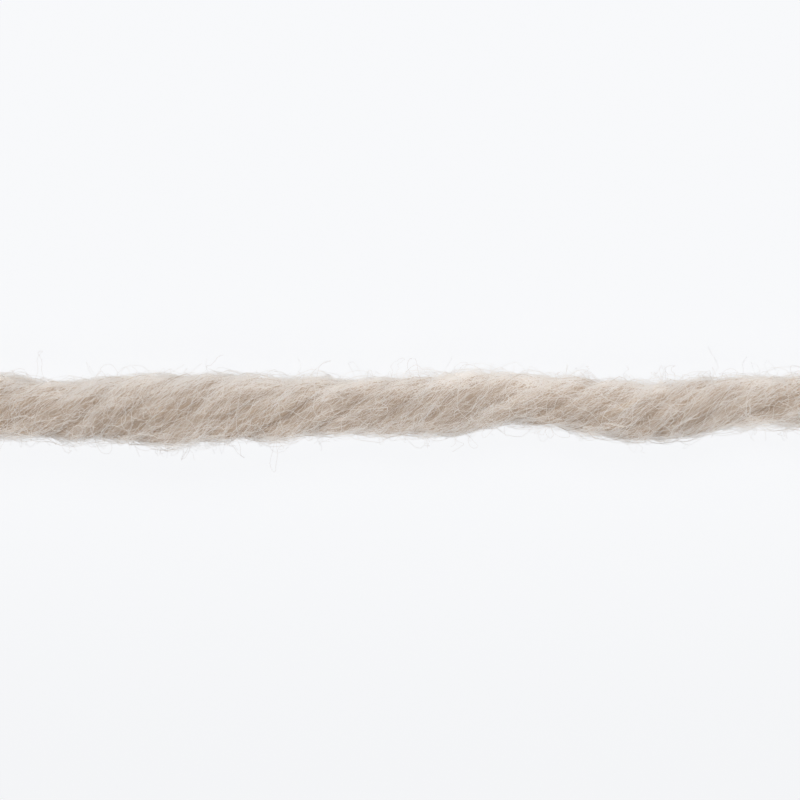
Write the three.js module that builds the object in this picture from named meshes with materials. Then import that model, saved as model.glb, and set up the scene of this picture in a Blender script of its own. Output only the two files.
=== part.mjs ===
// A cut length of merino wool knitting yarn, lying straight on a flat surface.
//
// The strand is four soft plies laid together with uneven S twist, thick and thin along it.
// Its underside is pressed flat where it lies, and both ends are cut square.
// Units are millimetres. X runs along the strand, +Z is up, and the origin is on the surface,
// under the middle of the strand.
import * as THREE from 'three';

// Driving dimensions
const LENGTH = 48;           // from cut end to cut end
const RING_STEP = 0.5;       // between the rings of points along the strand
const POINTS_PER_PLY = 8;    // points across one ply in a ring
const GROOVE_REACH = 0.88;   // how far out a groove between two plies lies, in strand radii
const MIDDLE_HEIGHT = 0.88;  // height of the strand's middle, in strand radii: it is pressed flat

// How far the crest of each ply in turn bulges out past its grooves, in strand radii
const BULGES = [0.135, 0.10, 0.12, 0.09];

// Where the grooves between the plies cross the top of the strand, one after the other: hand
// spinning leaves the twist uneven
const GROOVES = [
  -26, -23.5, -21, -18, -15.5, -13.5, -10.5, -8, -5, -2.5, 0,
  2, 5, 8, 10, 12.5, 14, 16, 19, 21.5, 24, 26.5,
];

// Thick and thin stretches: the strand's thickness along its length, and its drift to the side
const SECTIONS = [
  { along: -24.0, thickness: 3.15, sideways: 0.05 },
  { along: -19.5, thickness: 3.15, sideways: 0.05 },
  { along: -16.5, thickness: 2.95, sideways: -0.15 },
  { along: -14.5, thickness: 3.25, sideways: -0.05 },
  { along: -12.0, thickness: 3.5, sideways: -0.15 },
  { along: -8.0, thickness: 3.4, sideways: 0.0 },
  { along: -6.0, thickness: 3.0, sideways: -0.05 },
  { along: -4.5, thickness: 3.0, sideways: 0.1 },
  { along: -2.5, thickness: 2.75, sideways: 0.05 },
  { along: 0.0, thickness: 2.85, sideways: 0.1 },
  { along: 2.5, thickness: 3.1, sideways: 0.2 },
  { along: 5.5, thickness: 2.55, sideways: 0.45 },
  { along: 7.5, thickness: 2.45, sideways: 0.35 },
  { along: 9.5, thickness: 2.8, sideways: 0.1 },
  { along: 11.5, thickness: 2.95, sideways: -0.15 },
  { along: 13.0, thickness: 2.8, sideways: -0.2 },
  { along: 14.5, thickness: 2.9, sideways: 0.0 },
  { along: 17.5, thickness: 2.4, sideways: 0.35 },
  { along: 20.0, thickness: 2.55, sideways: 0.35 },
  { along: 24.0, thickness: 2.85, sideways: 0.2 },
];

// A smooth run through values, or rows of values, given at places along the strand
function smoothRun(places, rows) {
  const values = Float32Array.from(rows.flat());
  return new THREE.CubicInterpolant(Float32Array.from(places), values, values.length / places.length);
}

const sectionRun = smoothRun(
  SECTIONS.map((section) => section.along),
  SECTIONS.map((section) => [section.thickness, section.sideways]),
);
const groovesPassed = smoothRun(GROOVES, GROOVES.map((place, count) => count));

// How far out the surface lies, in strand radii. Line k is groove k, and the lines from k to
// k + 1 run along one ply
function reach(line) {
  const bulge = BULGES[Math.floor(line) % BULGES.length];
  const across = 2 * (line % 1) - 1;
  return GROOVE_REACH + bulge * (1 - across * across);
}

// One ring of points round the strand, from line 0, never below the surface it lies on
function ring(x) {
  const [thickness, sideways] = sectionRun.evaluate(x);
  const [passed] = groovesPassed.evaluate(x);
  const radius = thickness / 2;
  const points = [];
  for (let i = 0; i < BULGES.length * POINTS_PER_PLY; i += 1) {
    const line = i / POINTS_PER_PLY;
    const angle = Math.PI / 2 + (2 * Math.PI * (line - passed)) / BULGES.length;
    const y = sideways + radius * reach(line) * Math.cos(angle);
    const z = radius * (MIDDLE_HEIGHT + reach(line) * Math.sin(angle));
    points.push(new THREE.Vector3(x, y, Math.max(0, z)));
  }
  return points;
}

// The whole strand as one closed surface: rings joined in order, and a fan over each cut end
function strandGeometry() {
  const steps = Math.round(LENGTH / RING_STEP);
  const around = BULGES.length * POINTS_PER_PLY;
  const points = [];
  for (let i = 0; i <= steps; i += 1) {
    points.push(...ring(-LENGTH / 2 + (LENGTH * i) / steps));
  }

  const faces = [];
  for (let i = 0; i < steps; i += 1) {
    for (let j = 0; j < around; j += 1) {
      const here = i * around + j;
      const beside = i * around + ((j + 1) % around);
      faces.push(here, beside, here + around);
      faces.push(beside, beside + around, here + around);
    }
  }

  for (const end of [0, steps]) {
    const x = -LENGTH / 2 + (LENGTH * end) / steps;
    const [thickness, sideways] = sectionRun.evaluate(x);
    const middle = points.push(new THREE.Vector3(x, sideways, (thickness / 2) * MIDDLE_HEIGHT)) - 1;
    for (let j = 0; j < around; j += 1) {
      const here = end * around + j;
      const beside = end * around + ((j + 1) % around);
      faces.push(middle, ...(end === 0 ? [beside, here] : [here, beside]));
    }
  }

  const geometry = new THREE.BufferGeometry().setFromPoints(points);
  geometry.setIndex(faces);
  geometry.computeVertexNormals();
  return geometry;
}

const wool = new THREE.MeshStandardMaterial({ color: 0xc4b7aa, roughness: 0.95, metalness: 0 });

const strand = new THREE.Mesh(strandGeometry(), wool);
strand.name = 'yarn_strand';

const group = new THREE.Group();
group.add(strand);

export default group;
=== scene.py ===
import bpy
import numpy as np
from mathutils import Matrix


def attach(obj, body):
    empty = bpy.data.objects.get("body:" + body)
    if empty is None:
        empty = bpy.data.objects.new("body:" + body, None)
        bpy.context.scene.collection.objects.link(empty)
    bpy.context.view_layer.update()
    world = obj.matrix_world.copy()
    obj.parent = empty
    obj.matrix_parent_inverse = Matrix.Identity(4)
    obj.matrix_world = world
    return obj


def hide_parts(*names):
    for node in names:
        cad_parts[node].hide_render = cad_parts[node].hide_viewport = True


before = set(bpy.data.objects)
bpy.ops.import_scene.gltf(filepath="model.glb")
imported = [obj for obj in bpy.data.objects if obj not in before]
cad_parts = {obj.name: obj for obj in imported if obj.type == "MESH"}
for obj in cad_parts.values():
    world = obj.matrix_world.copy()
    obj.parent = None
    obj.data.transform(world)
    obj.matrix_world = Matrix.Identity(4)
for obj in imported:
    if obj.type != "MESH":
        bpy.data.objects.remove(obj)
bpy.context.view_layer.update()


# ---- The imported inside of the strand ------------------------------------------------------
# A soft knitting yarn: four plies of merino wool laid together with S twist, thick and thin
# along its length. It lies straight on a surface, which presses its underside flat. This is
# the wool packed inside the plies, which shows only in the gaps between the outer fibres.

MM = 0.001
LENGTH = 48.0  # from cut end to cut end, in mm as all sizes here
MEAN_THICKNESS = 3.0
PLY_COUNT = 4
GROOVE_REACH = 0.88  # how far out a groove lies, in strand radii
BULGES = np.array([0.135, 0.10, 0.12, 0.09])  # how far each ply's crest stands past that
MIDDLE_HEIGHT = 0.88  # height of the strand's middle, in strand radii
CORE_DEPTH = 0.29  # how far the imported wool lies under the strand's outer surface
FLUFF_LEFT = 0.15  # how much deeper it lies on the +Y flank
FLUFF_RIGHT = 0.05  # and on the -Y flank
CORE_SHORTER = 0.15  # how far it stops short of each cut end
CORE_CLEAR = 0.02  # how far it stays above the surface
CORE_STEP = 0.16
CORE_LINES = 96

# Where the grooves between the plies cross the top of the strand, one after the other
GROOVES = np.array(
    [-26.0, -23.5, -21.0, -18.0, -15.5, -13.5, -10.5, -8.0, -5.0, -2.5, 0.0]
    + [2.0, 5.0, 8.0, 10.0, 12.5, 14.0, 16.0, 19.0, 21.5, 24.0, 26.5]
)

# Thick and thin stretches: the thickness along the strand, and its drift to the side
SECTIONS = np.array(
    [
        (-24.0, 3.15, 0.05),
        (-19.5, 3.15, 0.05),
        (-16.5, 2.95, -0.15),
        (-14.5, 3.25, -0.05),
        (-12.0, 3.5, -0.15),
        (-8.0, 3.4, 0.0),
        (-6.0, 3.0, -0.05),
        (-4.5, 3.0, 0.1),
        (-2.5, 2.75, 0.05),
        (0.0, 2.85, 0.1),
        (2.5, 3.1, 0.2),
        (5.5, 2.55, 0.45),
        (7.5, 2.45, 0.35),
        (9.5, 2.8, 0.1),
        (11.5, 2.95, -0.15),
        (13.0, 2.8, -0.2),
        (14.5, 2.9, 0.0),
        (17.5, 2.4, 0.35),
        (20.0, 2.55, 0.35),
        (24.0, 2.85, 0.2),
    ],
    dtype=[("along", float), ("thickness", float), ("sideways", float)],
)


def ease(t):
    """From 0 to 1, starting and stopping gently."""
    return t * t * (3 - 2 * t)


def run_through(at, value, x):
    """The value at any x, run smoothly through the given ones."""
    slope = np.gradient(value, at)
    i = np.clip(np.searchsorted(at, x) - 1, 0, len(at) - 2)
    gap = at[i + 1] - at[i]
    t = np.clip((x - at[i]) / gap, 0.0, 1.0)
    tilt = gap * t * (1 - t) * ((1 - t) * slope[i] - t * slope[i + 1])
    return value[i] + (value[i + 1] - value[i]) * ease(t) + tilt


def thickness(x):
    return run_through(SECTIONS["along"], SECTIONS["thickness"], x)


def sideways(x):
    return run_through(SECTIONS["along"], SECTIONS["sideways"], x)


def laid(x):
    """How many grooves cross the top before x."""
    return run_through(GROOVES, np.arange(len(GROOVES), dtype=float), x)


def turn_from_top(x, line):
    """How far round the strand a line lies at x. Line k is where groove k crosses the top,
    and lines between k and k + 1 run along one ply. It grows towards -Y."""
    return 2 * np.pi * (line - laid(x)) / PLY_COUNT


rng = np.random.default_rng(11)
LUMP_CELLS = 40, 16  # soft lumps from the spinning, along the strand and round it
LUMP_HEIGHT = 0.03  # how high or deep they typically are
LUMP_SPAN = 1.2  # the stretch that they cover, in strand lengths
LUMP_DRIFT = 0.03  # lines that they drift by in each mm
LUMPS = rng.normal(0, LUMP_HEIGHT, LUMP_CELLS)


def relief(x, line):
    """How far the plies stand past the strand's radius, or dip under it in their grooves, with
    soft lumps on them."""
    ply = np.floor(line).astype(int) % PLY_COUNT
    across = 2 * (line - np.floor(line)) - 1
    round_ply = BULGES[ply] * (1 - across * across)
    a = (x / LENGTH + LUMP_SPAN / 2) / LUMP_SPAN * (LUMP_CELLS[0] - 1)
    b = np.mod((line - LUMP_DRIFT * x) / PLY_COUNT, 1.0) * LUMP_CELLS[1]
    i = np.clip(np.floor(a).astype(int), 0, LUMP_CELLS[0] - 2)
    j = np.floor(b).astype(int)
    s = ease(a - i)
    t = ease(b - j)
    j, k = j % LUMP_CELLS[1], (j + 1) % LUMP_CELLS[1]
    near = LUMPS[i, j] * (1 - t) + LUMPS[i, k] * t
    far = LUMPS[i + 1, j] * (1 - t) + LUMPS[i + 1, k] * t
    return thickness(x) / 2 * (GROOVE_REACH + round_ply - 1) + near * (1 - s) + far * s


def packed(x, line, depth):
    """The lift of wool packed at this depth, deeper on the flanks, where more fluff hangs."""
    to_side = np.sin(turn_from_top(x, line))
    return FLUFF_LEFT * np.minimum(to_side, 0) - FLUFF_RIGHT * np.maximum(to_side, 0) - depth


def on_strand(x, line, lift):
    """Points at x on these lines, lifted off the strand's surface."""
    angle = np.pi / 2 + turn_from_top(x, line)
    out = thickness(x) / 2 + relief(x, line) + lift
    y = sideways(x) + out * np.cos(angle)
    z = thickness(x) / 2 * MIDDLE_HEIGHT + out * np.sin(angle)
    return np.stack([x + 0 * y, y, z], axis=-1)


def linear(hex_colour):
    """An sRGB hex colour as linear RGBA."""
    rgb = [int(hex_colour[i : i + 2], 16) / 255 for i in (0, 2, 4)]
    return [c / 12.92 if c <= 0.04045 else ((c + 0.055) / 1.055) ** 2.4 for c in rgb] + [1.0]


def node(tree, kind, inputs=None, **settings):
    """Adds a node with its settings, and sets or links its inputs."""
    made = tree.nodes.new(kind)
    for key, value in settings.items():
        setattr(made, key, value)
    for key, value in (inputs or {}).items():
        if isinstance(value, bpy.types.NodeSocket):
            tree.links.new(value, made.inputs[key])
        else:
            made.inputs[key].default_value = value
    return made


def mesh_piece(name, points, faces, material):
    """A piece from points in mm and groups of faces, with its place in its mesh."""
    mesh = bpy.data.meshes.new(name)
    mesh.vertices.add(len(points))
    mesh.vertices.foreach_set("co", (points * MM).astype(np.float32).ravel())
    corners = np.concatenate([group.ravel() for group in faces])
    sizes = np.concatenate([np.full(len(group), group.shape[1]) for group in faces])
    mesh.loops.add(len(corners))
    mesh.loops.foreach_set("vertex_index", corners.astype(np.int32))
    mesh.polygons.add(len(sizes))
    starts = np.concatenate([[0], np.cumsum(sizes)[:-1]])
    mesh.polygons.foreach_set("loop_start", starts.astype(np.int32))
    mesh.update(calc_edges=True)
    mesh.shade_smooth()
    mesh.materials.append(material)
    piece = bpy.data.objects.new(name, mesh)
    bpy.context.collection.objects.link(piece)
    return piece


# Packed merino wool: matte, in close oatmeal tones, streaked along the plies
wool_core = bpy.data.materials.new("merino wool, packed inside the plies")
wool_core.use_nodes = True
tree = wool_core.node_tree
shader = tree.nodes["Principled BSDF"]
shader.inputs["Roughness"].default_value = 0.85
shader.inputs["Specular IOR Level"].default_value = 0.2
lay = node(tree, "ShaderNodeAttribute", attribute_name="untwisted")
# Streaks of fibres: 0.07 mm apart, a little coarser than real ones, and 2 mm long
drawn = node(tree, "ShaderNodeMapping", {"Vector": lay.outputs["Vector"], "Scale": (0.5, 14, 14)})
streaks = node(
    tree, "ShaderNodeTexNoise", {"Vector": drawn.outputs["Vector"], "Scale": 1.0, "Detail": 3.0}
)
tone = node(tree, "ShaderNodeValToRGB", {"Fac": streaks.outputs["Fac"]})
tone.color_ramp.elements[0].position = 0.3
tone.color_ramp.elements[0].color = linear("D0BFAC")
tone.color_ramp.elements[1].position = 0.7
tone.color_ramp.elements[1].color = linear("E0D2C2")
tree.links.new(tone.outputs["Color"], shader.inputs["Base Color"])
bump = node(
    tree,
    "ShaderNodeBump",
    {"Height": streaks.outputs["Fac"], "Strength": 0.5, "Distance": 0.05 * MM},
)
tree.links.new(bump.outputs["Normal"], shader.inputs["Normal"])

steps = round(LENGTH / CORE_STEP)
core_end = LENGTH / 2 - CORE_SHORTER
x = np.linspace(-core_end, core_end, steps + 1)[:, None]
line = (PLY_COUNT * np.arange(CORE_LINES) / CORE_LINES)[None, :]
rings = on_strand(x + 0 * line, line + 0 * x, packed(x, line, CORE_DEPTH))
rings[..., 2] = np.maximum(rings[..., 2], CORE_CLEAR)
end_x = x[[0, -1], 0]
middles = np.stack([end_x, sideways(end_x), thickness(end_x) / 2], -1)
rim = np.arange(CORE_LINES)
rim_next = (rim + 1) % CORE_LINES
row = np.arange(steps)[:, None] * CORE_LINES
walls = np.stack(
    [row + rim, row + rim_next, row + CORE_LINES + rim_next, row + CORE_LINES + rim], -1
).reshape(-1, 4)
first, last = (steps + 1) * CORE_LINES, (steps + 1) * CORE_LINES + 1
far_rim = steps * CORE_LINES
caps = np.concatenate(
    [
        np.stack([np.full(CORE_LINES, first), rim_next, rim], -1),
        np.stack([np.full(CORE_LINES, last), far_rim + rim, far_rim + rim_next], -1),
    ]
)
points = np.concatenate([rings.reshape(-1, 3), middles])
core = mesh_piece("packed_wool", points, [walls, caps], wool_core)

# Where each point would lie if the plies ran straight, so that the streaks follow them
turn = 2 * np.pi * line / PLY_COUNT + 0 * x
untwisted = np.stack(
    [x + 0 * line, thickness(x) / 2 * np.cos(turn), thickness(x) / 2 * np.sin(turn)], -1
)
untwisted = np.concatenate([untwisted.reshape(-1, 3), [[-LENGTH / 2, 0, 0], [LENGTH / 2, 0, 0]]])
attribute = core.data.attributes.new("untwisted", "FLOAT_VECTOR", "POINT")
attribute.data.foreach_set("vector", untwisted.astype(np.float32).ravel())
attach(core, "root")
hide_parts("yarn_strand")


# ---- Fibres of the four plies -------------------------------------------------------------
# Each ply is thousands of crimped merino fibres, spun the other way (Z) before plying, so
# they lie flatter along the strand than the plies do. They cling together in small locks.
# A real fibre is about 0.02 mm thick.

FIBRE = 0.024
FIBRE_CLEAR = 0.004  # how far fibres stay above the surface
FIBRE_DEPTH = 0.24  # how far they lie under the strand's outer surface
LOCKS_PER_PLY = 110
FIBRES_PER_LOCK = 9
LOCK_STEPS = 7
GOLDEN = 0.618  # steps of this share round a ply spread the locks evenly


def fibre_wool(name, roughness, tones, lit_through):
    """A wool whose fibres take their tone, which may hold painted light and shade, from u on their
    UV map. Light passes through such thin fibres, and lit_through is the share of it that does."""
    made = bpy.data.materials.new(name)
    made.use_nodes = True
    tree = made.node_tree
    shader = tree.nodes["Principled BSDF"]
    shader.inputs["Roughness"].default_value = roughness
    shader.inputs["IOR"].default_value = 1.55
    place = node(tree, "ShaderNodeUVMap", uv_map="OFBake")
    parts = node(tree, "ShaderNodeSeparateXYZ", {"Vector": place.outputs["UV"]})
    tone = node(tree, "ShaderNodeValToRGB", {"Fac": parts.outputs["X"]})
    ramp = tone.color_ramp
    ramp.elements[0].color = linear(tones[0])
    ramp.elements[1].color = linear(tones[-1])
    for middle_tone in tones[1:-1]:
        middle = ramp.elements.new(0.5)
        middle.color = linear(middle_tone)
    tree.links.new(tone.outputs["Color"], shader.inputs["Base Color"])
    through = node(tree, "ShaderNodeBsdfTranslucent", {"Color": tone.outputs["Color"]})
    both = node(
        tree,
        "ShaderNodeMixShader",
        {"Fac": lit_through, 1: shader.outputs["BSDF"], 2: through.outputs["BSDF"]},
    )
    tree.links.new(both.outputs["Shader"], tree.nodes["Material Output"].inputs["Surface"])
    return made


# Undyed merino: soft oatmeal tones that tell one fibre from the next, with a faint sheen
wool = fibre_wool("merino wool fibre, natural oatmeal", 0.5, ["C0AC98", "CFBDAB", "E9E1D8"], 0.1)


def fibres(name, paths, width, tones, material):
    """One piece of many fibres: three-sided tubes along paths, each with one tone, or with tones
    along it, in which the callers may paint light and shade."""
    count, rows = paths.shape[:2]
    along = np.gradient(paths, axis=1)
    along /= np.linalg.norm(along, axis=-1, keepdims=True) + 1e-9
    side = np.empty_like(paths)
    start = np.cross(along[:, 0], rng.normal(size=(count, 3)))
    side[:, 0] = start / np.linalg.norm(start, axis=-1, keepdims=True)
    for i in range(1, rows):
        before = side[:, i - 1]
        turned = before - along[:, i] * (before * along[:, i]).sum(-1, keepdims=True)
        side[:, i] = turned / (np.linalg.norm(turned, axis=-1, keepdims=True) + 1e-9)
    up = np.cross(along, side)
    around = 2 * np.pi * np.arange(3) / 3
    girth = np.broadcast_to(np.asarray(width) / 2, (count,))[:, None, None, None]
    ring = side[:, :, None] * np.cos(around)[:, None] + up[:, :, None] * np.sin(around)[:, None]
    points = paths[:, :, None] + girth * ring
    points[..., 2] = np.maximum(points[..., 2], FIBRE_CLEAR)

    base = np.arange(count)[:, None, None] * rows * 3
    row = np.arange(rows - 1)[None, :, None] * 3
    corner = np.arange(3)[None, None, :]
    here = base + row + corner
    beside = base + row + (corner + 1) % 3
    walls = np.stack([here, beside, beside + 3, here + 3], -1).reshape(-1, 4)
    tips = np.arange(count)[:, None] * rows * 3
    caps = np.concatenate([tips + [2, 1, 0], tips + (rows - 1) * 3 + [0, 1, 2]])
    piece = mesh_piece(name, points.reshape(-1, 3), [walls, caps], material)

    # On the UV map u is the tone, with a little width to each fibre, and v runs along it
    spread = np.array([-0.004, 0.0, 0.004])
    u = np.clip(tones, 0.01, 0.99).reshape(count, -1, 1) + spread
    v = np.linspace(0.01, 0.99, rows)[None, :, None]
    uv = np.stack(np.broadcast_arrays(u, v), -1).reshape(-1, 2)
    corners = np.concatenate([walls.ravel(), caps.ravel()])
    layer = piece.data.uv_layers.new(name="OFBake")
    layer.uv.foreach_set("vector", uv[corners].astype(np.float32).ravel())

    # Real wool is finer and lets light in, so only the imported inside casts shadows
    piece.visible_shadow = False
    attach(piece, "root")
    return piece


def wave(shape, t, length, low, high):
    """Crimp: a wave of one unit on each fibre, with a wavelength between low and high."""
    turns = length / rng.uniform(low, high, shape)
    return np.sin(2 * np.pi * (turns * t / 2 + rng.uniform(0, 1, shape)))


def painted_light_and_shade(x, line):
    """Painted light and shade on the wool there: painted paler where it stands high and as a
    painted highlight on the shoulder of a ply just past its groove, and painted shade down in a groove
    between two plies."""
    across = line - np.floor(line)
    from_groove = np.minimum(across, 1 - across)
    # A painted highlight on the shoulder, and painted shade down in the groove
    shoulder = 0.26 * np.exp(-(((across - 0.25) / 0.1) ** 2))
    groove = 0.43 * np.exp(-((from_groove / 0.08) ** 2))
    return 0.4 * relief(x, line) + (shoulder - groove)


def to_cut(x):
    """Draws fibres back so that they stop at the cut ends, which are a little uneven."""
    end = LENGTH / 2 + rng.normal(0, 0.06, x.shape[:-1] + (1,))
    past_end = np.maximum(x.max(-1, keepdims=True) - end, 0)
    past_start = np.minimum(x.min(-1, keepdims=True) + end, 0)
    return x - past_end - past_start


def ply_fibres(plies):
    """Locks of fibres along these plies: their paths, and the tones along each fibre."""
    locks, each = LOCKS_PER_PLY * len(plies), FIBRES_PER_LOCK
    t = np.linspace(-1, 1, LOCK_STEPS + 1)[None, None, :]
    run = rng.uniform(2.4, 4.8, (locks, 1, 1))
    number = np.arange(locks)[:, None, None]
    x0 = LENGTH * ((number + rng.uniform(0, 1, (locks, 1, 1))) / locks - 0.5)
    line0 = np.array(plies)[number % len(plies)] + (number // len(plies) * GOLDEN) % 1
    line0 = line0 + rng.normal(0, 0.06, (locks, 1, 1))
    slope = rng.normal(-0.01, 0.07, (locks, 1, 1))
    half = run / 2 * rng.uniform(0.7, 1.2, (locks, each, 1))
    x = to_cut(x0 + rng.normal(0, 0.35, (locks, each, 1)) + half * t)

    # A lock is widest at its middle, and its crimp is partly shared by all of its fibres
    spread = rng.normal(0, 0.5, (locks, each, 1))
    rise = rng.normal(0, 0.04, (locks, 1, 1)) + rng.normal(0, 0.04, (locks, each, 1))
    line = line0 + slope * (x - x0) + rng.normal(0, 0.07, (locks, each, 1)) * t
    line = line + rng.uniform(0.05, 0.12, (locks, 1, 1)) * spread * (1 - 0.45 * t**2)
    line = line + 0.045 * wave((locks, 1, 1), t, run, 1.6, 3.5)
    line = line + 0.025 * wave((locks, each, 1), t, run, 0.9, 2.4)

    # It is rounded on top, and its tips dip under the locks beside it
    lift = rise + packed(x, line, FIBRE_DEPTH)
    lift = lift + 0.05 * (1 - spread**2).clip(-0.5, 1) * (1 - t**2) - 0.08 * t**4
    lift = lift + 0.02 * wave((locks, each, 1), t, run, 0.9, 2.2)

    # Painted light and shade: a lock is painted paler the higher it stands and darker the deeper it
    # lies, and its fibres take the painted relief shading, on top of random tones
    tones = 0.5 + 1.6 * rise + rng.normal(0, 0.03, (locks, 1, 1))
    tones = tones + rng.normal(0, 0.055, (locks, each, 1)) + painted_light_and_shade(x, line)
    shape = (locks * each, LOCK_STEPS + 1)
    return on_strand(x, line, lift).reshape(*shape, 3), tones.reshape(shape)


for pair in ([0, 1], [2, 3]):
    paths, tones = ply_fibres(pair)
    fibres(f"ply_fibres_{pair[0] + 1}_{pair[1] + 1}", paths, FIBRE, tones, wool)


# ---- Cut ends -----------------------------------------------------------------------------
# Scissors have cut the strand square. Its fibres end there in four small brushes, one to
# each ply, which open a little and leave a gap in the middle.

TIPS_PER_PLY = 280
TIP = 0.045  # two or three fibre ends that cling together
TIP_LENGTH = 0.9
PLY_MIDDLE = 0.47  # how far out the middle of a ply lies, in strand radii
PLY_RADIUS = 0.42

tips = []
for end in (-1, 1):
    shape = (PLY_COUNT, TIPS_PER_PLY, 1)
    t = np.array([0.0, 0.5, 1.0])
    x = end * (LENGTH / 2 - TIP_LENGTH + (TIP_LENGTH + rng.normal(0, 0.13, shape)) * t)
    around = 2 * np.pi * rng.uniform(0, 1, shape)
    out = PLY_RADIUS * np.sqrt(rng.uniform(0, 1, shape)) * (0.94 + 0.1 * t)
    ply_angle = np.pi / 2 + turn_from_top(x, np.arange(PLY_COUNT)[:, None, None] + 0.5)
    radius = thickness(x) / 2
    y = sideways(x) + radius * (PLY_MIDDLE * np.cos(ply_angle) + out * np.cos(around))
    z = radius * (MIDDLE_HEIGHT + PLY_MIDDLE * np.sin(ply_angle) + out * np.sin(around))
    tips.append(np.stack([x, y, z], -1).reshape(-1, 3, 3))
paths = np.concatenate(tips)
tones = rng.normal(0.45, 0.2, len(paths))
fibres("cut_ends", paths, TIP, tones, wool)


# ---- Outer fibres -------------------------------------------------------------------------
# Wool brushed up off the plies in handling. Its fibres lie side by side over the surface, in
# locks that run along the strand more than the plies do and bridge the grooves.

OUTER_FIBRE = 0.019
OUTER_LOCKS = 355  # in each of the pieces
OUTER_PER_LOCK = 7


def wander(locks, each, length, steps, wild):
    """Steps that wandering fibres take, along the strand and round it. The fibres of a lock
    keep together, and wild is how much they bend."""
    t = np.linspace(0, 1, steps + 1)[None, None, :]
    heading = rng.normal(0.7, 0.2 + 0.4 * wild, (locks, 1, 1))
    heading = heading + rng.normal(0, 0.12, (locks, each, 1))
    heading = heading + 2.5 * wild**2 * rng.normal(0, 1, (locks, 1, 1)) * (2 * t - 1)
    for bends in (0.7, 1.6, 3.5):
        size = wild * rng.normal(0, 1, (locks, 1, 1)) / bends**0.5
        size = size + 0.3 * wild * rng.normal(0, 1, (locks, each, 1))
        phase = rng.uniform(0, 1, (locks, 1, 1)) + rng.normal(0, 0.08, (locks, each, 1))
        heading = heading + size * np.sin(2 * np.pi * (bends * t + phase))
    t, heading = t[0], heading.reshape(locks * each, steps + 1)
    step = length / steps
    dx = np.cumsum(np.cos(heading) * step, axis=1)
    darc = np.cumsum(np.sin(heading) * step, axis=1)
    return t, dx - dx[:, [steps // 2]], darc - darc[:, [steps // 2]]


def loose(locks, each, lengths, steps, wild, height, share):
    """Loose fibres, more of them on the crests of the plies and fewer underneath, alone or
    several in a lock: their paths, and the painted light and shade along them. height(t,
    count) is how far they stand off the surface, and share(turn) how many there are at that
    turn from the top."""
    middle = rng.uniform(-LENGTH / 2, LENGTH / 2, (4 * locks, 1))
    line = rng.uniform(0, PLY_COUNT, (4 * locks, 1))
    turn = turn_from_top(middle, line)
    liked = share(turn) * np.exp(2.0 * relief(middle, line))
    liked = liked * np.where(np.cos(turn) < -0.6, 0.4, 1.0)
    kept = np.argsort(rng.exponential(1.0, (4 * locks, 1)) / liked, axis=0)[:locks, 0]
    count = locks * each
    apart = 0.12 * (each > 1)
    middle = np.repeat(middle[kept], each, 0) + rng.normal(0, 3 * apart, (count, 1))
    line = np.repeat(line[kept], each, 0) + rng.normal(0, apart, (count, 1))
    length = rng.uniform(*lengths, (count, 1))
    t, dx, darc = wander(locks, each, length, steps, wild)
    x = to_cut(middle + dx)
    line = line + laid(x) - laid(middle) - darc * PLY_COUNT / (np.pi * MEAN_THICKNESS)
    return on_strand(x, line, height(t, count)), painted_light_and_shade(x, line)


def lying(t, stand, tucked, flat, ripple, most_waves):
    """How far fibres stand off that lie at their own stand, with both tips tucked in to the
    given depth, and ripple. The higher flat is, the shorter the tucked stretch."""
    middle = 1 - np.abs(2 * t - 1) ** flat
    waves = rng.uniform(1, most_waves, stand.shape)
    phase = rng.uniform(0, 1, stand.shape)
    return tucked + (stand - tucked) * middle + ripple * np.sin(2 * np.pi * (waves * t + phase))


def on_top(t, count):
    stand = -0.27 + rng.gamma(2.0, 0.05, (count, 1))
    return lying(t, stand, tucked=-0.30, flat=3, ripple=0.02, most_waves=4)


def all_round(turn):
    return 1.0 + 0 * turn


for number in (1, 2, 3):
    paths, painted_shading = loose(
        OUTER_LOCKS, OUTER_PER_LOCK, (1.8, 4.2), steps=6, wild=0.1, height=on_top, share=all_round
    )
    tones = rng.uniform(0.42, 0.58, (OUTER_LOCKS, 1))
    tones = tones + rng.normal(0, 0.055, (OUTER_LOCKS, OUTER_PER_LOCK))
    # Painted light and shade along each fibre from the relief, on top of its random tone
    tones = tones.reshape(-1, 1) + painted_shading
    fibres(f"outer_fibres_{number}", paths, OUTER_FIBRE, tones, wool)


# ---- Veil ---------------------------------------------------------------------------------
# Fluff that wraps the strand: fine pale fibres in loose pairs, which lie over the outer
# fibres and hang thickest on the two flanks, where they soften the outline. They are painted
# near white and gather most on the +Y flank, which the key light faces: painted light that brightens
# that edge.

VEIL_FIBRE = 0.016
VEIL_LOCKS = 1800  # in each of the pieces
VEIL_PER_LOCK = 2

# Loose merino fibres: each so thin that most of its light comes through, which glows pale. Their
# near-white tone, paler than the plies, is partly painted light for the bright fluffy edge
loose_wool = fibre_wool("loose merino wool fibre, lit through", 0.4, ["F3EDE6", "FFFFFF"], 0.6)


def in_shell(t, count):
    stand = -0.17 + rng.gamma(2.2, 0.08, (count, 1))
    return lying(t, stand, tucked=-0.28, flat=3, ripple=0.03, most_waves=4)


def flanks_most_on_lit_side(turn):
    """Few on the top, and most of them over the +Y side, which the key light faces, so that these pale
    fibres paint light on that flank.
    """
    left = np.clip(-1.8 * np.sin(turn), 0, 1)
    right = np.clip(np.sin(turn), 0, 1)
    return 0.1 + 1.7 * left + 0.8 * right


for number in (1, 2):
    paths, _ = loose(
        VEIL_LOCKS, VEIL_PER_LOCK, (1.8, 4.2), steps=7, wild=0.12, height=in_shell, share=flanks_most_on_lit_side
    )
    tones = rng.uniform(0.2, 1.0, len(paths))
    fibres(f"veil_{number}", paths, VEIL_FIBRE, tones, loose_wool)


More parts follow.
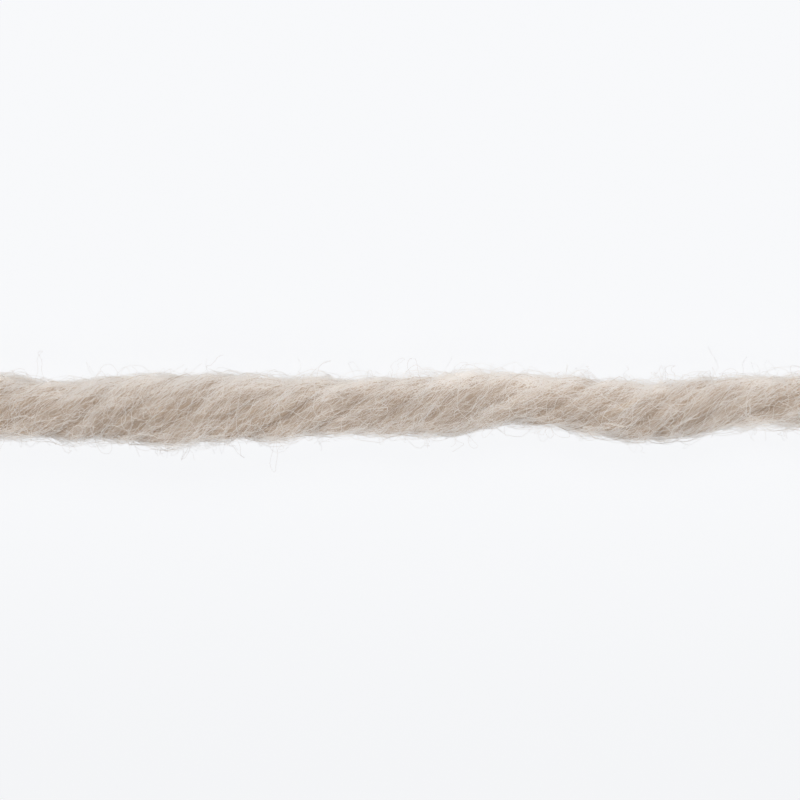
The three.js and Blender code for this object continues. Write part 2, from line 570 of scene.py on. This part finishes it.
# ---- Stray fibres -------------------------------------------------------------------------
# Long single fibres that have worked out of the plies and curl over the strand's crown. Two
# or three of them that cling together are drawn as one, coarser than a real fibre.

STRAY_COUNT = 290

# Near-white stray fibres: partly a painted highlight, so that each reads as a bright glinting hair,
# and smooth with a strong sheen, so they catch the light
stray_wool = fibre_wool("stray merino wool fibre, pale with a painted highlight", 0.3, ["F6EEE4", "FFFCF8"], 0.3)
shader = stray_wool.node_tree.nodes["Principled BSDF"]
shader.inputs["Specular IOR Level"].default_value = 0.9
shader.inputs["Sheen Weight"].default_value = 1.0
shader.inputs["Sheen Roughness"].default_value = 0.4


def astray(t, count):
    stand = 0.03 + rng.gamma(2.0, 0.04, (count, 1))
    return lying(t, stand, tucked=-0.25, flat=5, ripple=0.05, most_waves=3)


def on_the_crown(turn):
    """Most of them on the top, and hardly any past the flanks."""
    return np.clip(0.3 + np.cos(turn), 0.05, 1)


paths, _ = loose(STRAY_COUNT, 1, (1.5, 5.0), steps=16, wild=0.5, height=astray, share=on_the_crown)
stray_widths = rng.uniform(0.022, 0.038, STRAY_COUNT)
tones = rng.uniform(0.8, 1.0, STRAY_COUNT)
fibres("stray_fibres", paths, stray_widths, tones, stray_wool)


# ---- Fuzz ---------------------------------------------------------------------------------
# A light halo of short loops and free ends that stand off the strand all round it, as on
# any soft wool. They root in the plies.

FUZZ_COUNT = 1700
FUZZ_FIBRE = 0.014
ROOT = -0.25  # how deep the fuzz and the loose hairs root


def standing_off(t, count):
    peak = rng.gamma(1.2, 0.20, (count, 1))
    free = rng.uniform(0, 1, (count, 1)) < 0.6
    return ROOT + (peak - ROOT) * np.where(free, t**1.4, np.sin(np.pi * t))


paths, _ = loose(FUZZ_COUNT, 1, (0.5, 2.0), steps=7, wild=0.8, height=standing_off, share=all_round)
tones = rng.uniform(0.4, 1.0, FUZZ_COUNT)
fibres("fuzz", paths, FUZZ_FIBRE, tones, loose_wool)


# ---- Loose hairs --------------------------------------------------------------------------
# The few finest hairs reach furthest out of the fuzz, some of them by more than a
# millimetre, and curl as they please.

HAIR_COUNT = 190
HAIR = 0.008


def far_off(t, count):
    peak = 0.2 + rng.gamma(1.5, 0.28, (count, 1))
    free = rng.uniform(0, 1, (count, 1)) < 0.4
    return ROOT + (peak - ROOT) * np.where(free, t**1.4, np.sin(np.pi * t))


paths, _ = loose(HAIR_COUNT, 1, (1.0, 3.5), steps=18, wild=1.1, height=far_off, share=all_round)
tones = rng.uniform(0.4, 1.0, HAIR_COUNT)
fibres("loose_hairs", paths, HAIR, tones, wool)


# ---- Light table --------------------------------------------------------------------------
# A pale translucent sheet that glows evenly from below, and a little less towards its near
# edge. The strand lies on it, and it is stage.

FLOOR_SIZE = 2.0  # in metres
FULL_GLOW = 0.962
NEAR_GLOW = 0.93
FADE = 20.0  # from full to near glow

bpy.ops.object.select_all(action="DESELECT")
bpy.ops.mesh.primitive_plane_add(size=FLOOR_SIZE, location=(0, 0, 0))
floor = bpy.context.object
floor.name = "light_table"
# Opal acrylic, lit from inside: it shows its own light and hardly any reflection
glow = bpy.data.materials.new("pale glowing light table")
glow.use_nodes = True
tree = glow.node_tree
shader = tree.nodes["Principled BSDF"]
shader.inputs["Base Color"].default_value = (0.08, 0.08, 0.08, 1)
shader.inputs["Roughness"].default_value = 1.0
shader.inputs["Specular IOR Level"].default_value = 0.0
shader.inputs["Emission Color"].default_value = linear("F7F8FA")
where = node(tree, "ShaderNodeTexCoord")
apart = node(tree, "ShaderNodeSeparateXYZ", {"Vector": where.outputs["Object"]})
fade = node(
    tree,
    "ShaderNodeMapRange",
    {
        "Value": apart.outputs["Y"],
        "From Min": -FADE * MM,
        "From Max": 0.0,
        "To Min": NEAR_GLOW,
        "To Max": FULL_GLOW,
    },
    interpolation_type="SMOOTHSTEP",
)
tree.links.new(fade.outputs["Result"], shader.inputs["Emission Strength"])
floor.data.materials.append(glow)


# ---- Lights and camera --------------------------------------------------------------------
# Two long soft boxes at the sides, the +Y one brighter, and a faint pale room. The camera
# looks straight down at the strand.

ROOM_LIGHT = 0.12

world = bpy.data.worlds.new("pale studio")
bpy.context.scene.world = world
world.use_nodes = True
background = world.node_tree.nodes["Background"]
background.inputs["Color"].default_value = linear("F6F7FA")
background.inputs["Strength"].default_value = ROOM_LIGHT


def soft_light(name, place, wide, high, power):
    """A long soft box at place, in metres, facing the strand. Its power is in watts."""
    data = bpy.data.lights.new(name, "AREA")
    data.shape = "RECTANGLE"
    data.size = wide
    data.size_y = high
    data.energy = power
    lamp = bpy.data.objects.new(name, data)
    bpy.context.collection.objects.link(lamp)
    lamp.location = place
    lamp.rotation_mode = "QUATERNION"
    lamp.rotation_quaternion = (-lamp.location).to_track_quat("-Z", "Y")
    lamp.visible_camera = False


soft_light("key_softbox", place=(0.05, 0.38, 0.32), wide=0.5, high=0.16, power=1.193)
soft_light("fill_softbox", place=(-0.05, -0.38, 0.30), wide=0.5, high=0.14, power=0.667)

VIEW_WIDTH = 40.0  # of the strand in view
VIEW_SIDEWAYS = 0.43
LENS = 100
SENSOR = 36

camera_data = bpy.data.cameras.new("camera")
camera_data.lens = LENS
camera_data.sensor_width = SENSOR
camera = bpy.data.objects.new("camera", camera_data)
bpy.context.collection.objects.link(camera)
view_distance = VIEW_WIDTH * LENS / SENSOR
camera.location = (0.0, VIEW_SIDEWAYS * MM, (view_distance + MEAN_THICKNESS / 2) * MM)
camera_data.clip_start = 0.001
camera_data.clip_end = 10
bpy.context.scene.camera = camera
bpy.context.scene.view_settings.view_transform = "Standard"
bpy.context.scene.cycles.diffuse_bounces = 10  # light bounces often between pale fibres
